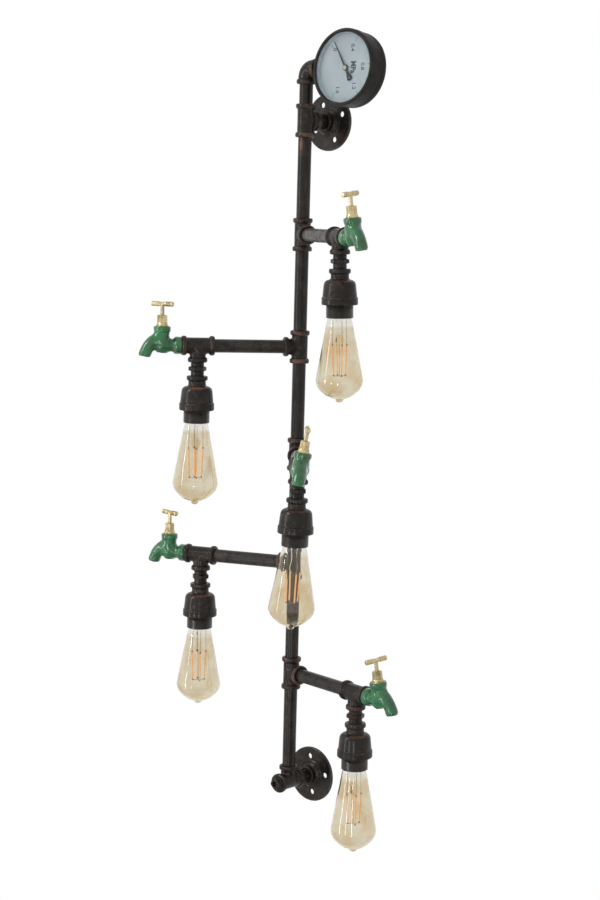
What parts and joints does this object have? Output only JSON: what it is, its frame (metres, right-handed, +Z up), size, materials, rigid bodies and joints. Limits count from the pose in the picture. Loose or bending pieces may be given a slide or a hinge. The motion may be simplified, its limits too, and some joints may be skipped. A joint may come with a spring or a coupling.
{
  "type": "wall lamp",
  "caption": "Wall lamp of pipe fittings: swing arms with hanging filament bulbs and bib taps on an upright pipe with a pressure gauge.",
  "frame": {"origin": "centre of the upper wall flange's back face, where it meets the wall", "axes": "+Z up along the column, +Y into the wall, +X along the wall to the right as seen from the room"},
  "size_m": [0.4473, 0.2398, 1.1493],
  "materials": {
    "black_iron": "blackened and waxed malleable iron, rubbed to brown on its edges",
    "pipe_steel": "blackened and waxed steel pipe, satin",
    "cable_sheath": "round black sheath",
    "brass": "dull turned brass",
    "case_enamel": "satin black enamel",
    "clear_glass": "flat clear window glass",
    "dial_white": "matt white enamel with printed scale",
    "pointer_black": "matt black",
    "holder_black": "blackened steel with a fine thread",
    "amber_glass": "thin amber-tinted bulb glass",
    "green_enamel": "glossy green enamel over a cast tap body"
  },
  "bodies": {
    "stand": {"upper_wall_flange": "black_iron", "lower_wall_flange": "black_iron", "wall_nipples": "pipe_steel", "wall_tees": "black_iron", "tee_plug": "black_iron", "column_pipes": "pipe_steel", "column_wiring": "cable_sheath", "gauge_elbow": "black_iron", "gauge_stem": "brass", "gauge_case": "case_enamel", "gauge_ring": "case_enamel", "gauge_glass": "clear_glass", "gauge_dial": "dial_white", "gauge_movement": "brass"},
    "arm_1": {"arm_tees_1": "black_iron", "arm_nipples_1": "pipe_steel", "lamp_bell_1": "black_iron", "lampholder_1": "holder_black", "bulb_glass_1": "amber_glass", "bulb_base_1": "brass", "tap_body_1": "green_enamel", "tap_headgear_1": "brass"},
    "handle_1": {"tap_handle_1": "brass"},
    "arm_2": {"arm_tees_2": "black_iron", "arm_nipples_2": "pipe_steel", "lamp_bell_2": "black_iron", "lampholder_2": "holder_black", "bulb_glass_2": "amber_glass", "bulb_base_2": "brass", "tap_body_2": "green_enamel", "tap_headgear_2": "brass"},
    "handle_2": {"tap_handle_2": "brass"},
    "arm_3": {"arm_tees_3": "black_iron", "arm_nipples_3": "pipe_steel", "lamp_bell_3": "black_iron", "lampholder_3": "holder_black", "bulb_glass_3": "amber_glass", "bulb_base_3": "brass", "tap_body_3": "green_enamel", "tap_headgear_3": "brass"},
    "handle_3": {"tap_handle_3": "brass"},
    "arm_4": {"arm_tees_4": "black_iron", "arm_nipples_4": "pipe_steel", "lamp_bell_4": "black_iron", "lampholder_4": "holder_black", "bulb_glass_4": "amber_glass", "bulb_base_4": "brass", "tap_body_4": "green_enamel", "tap_headgear_4": "brass"},
    "handle_4": {"tap_handle_4": "brass"},
    "arm_5": {"arm_tees_5": "black_iron", "arm_nipples_5": "pipe_steel", "lamp_bell_5": "black_iron", "lampholder_5": "holder_black", "bulb_glass_5": "amber_glass", "bulb_base_5": "brass", "tap_body_5": "green_enamel", "tap_headgear_5": "brass"},
    "handle_5": {"tap_handle_5": "brass"},
    "pointer": {"gauge_pointer": "pointer_black"}
  },
  "joints": [
    {"name": "arm_swing_1", "type": "hinge", "parent": "stand", "child": "arm_1", "pos_m": [0, -0.054, -0.1606], "axis": [0, 0, -1], "range_deg": [-29, 46]},
    {"name": "tap_turn_1", "type": "hinge", "parent": "arm_1", "child": "handle_1", "pos_m": [0.17405, -0.15048, -0.1606], "axis": [-0.0591, -0.1066, 0.9925], "range_deg": [0, 450]},
    {"name": "arm_swing_2", "type": "hinge", "parent": "stand", "child": "arm_2", "pos_m": [0, -0.054, -0.3207], "axis": [0, 0, -1], "range_deg": [-22.6, 52.4]},
    {"name": "tap_turn_2", "type": "hinge", "parent": "arm_2", "child": "handle_2", "pos_m": [-0.12142, -0.21167, -0.3207], "axis": [0, 0, 1], "range_deg": [0, 450]},
    {"name": "arm_swing_3", "type": "hinge", "parent": "stand", "child": "arm_3", "pos_m": [0, -0.054, -0.4758], "axis": [0, 0, -1], "range_deg": [-48, 27]},
    {"name": "tap_turn_3", "type": "hinge", "parent": "arm_3", "child": "handle_3", "pos_m": [0.13316, -0.20189, -0.4758], "axis": [0.1227, 0.1104, 0.9863], "range_deg": [0, 450]},
    {"name": "arm_swing_4", "type": "hinge", "parent": "stand", "child": "arm_4", "pos_m": [0, -0.054, -0.635], "axis": [0, 0, -1], "range_deg": [-55, 20]},
    {"name": "tap_turn_4", "type": "hinge", "parent": "arm_4", "child": "handle_4", "pos_m": [-0.187, -0.12206, -0.635], "axis": [0, 0, 1], "range_deg": [0, 450]},
    {"name": "arm_swing_5", "type": "hinge", "parent": "stand", "child": "arm_5", "pos_m": [0, -0.054, -0.7977], "axis": [0, 0, -1], "range_deg": [-10.8, 64.2]},
    {"name": "tap_turn_5", "type": "hinge", "parent": "arm_5", "child": "handle_5", "pos_m": [0.19548, -0.09129, -0.7977], "axis": [-0.0293, -0.1537, 0.9877], "range_deg": [0, 450]},
    {"name": "gauge_pointer_turn", "type": "hinge", "parent": "stand", "child": "pointer", "pos_m": [0.0849, -0.05622, 0.06944], "axis": [0.0224, 0.9959, -0.0871], "range_deg": [-13, 257], "stiffness_Nm_per_rad": 0.003}
  ]
}
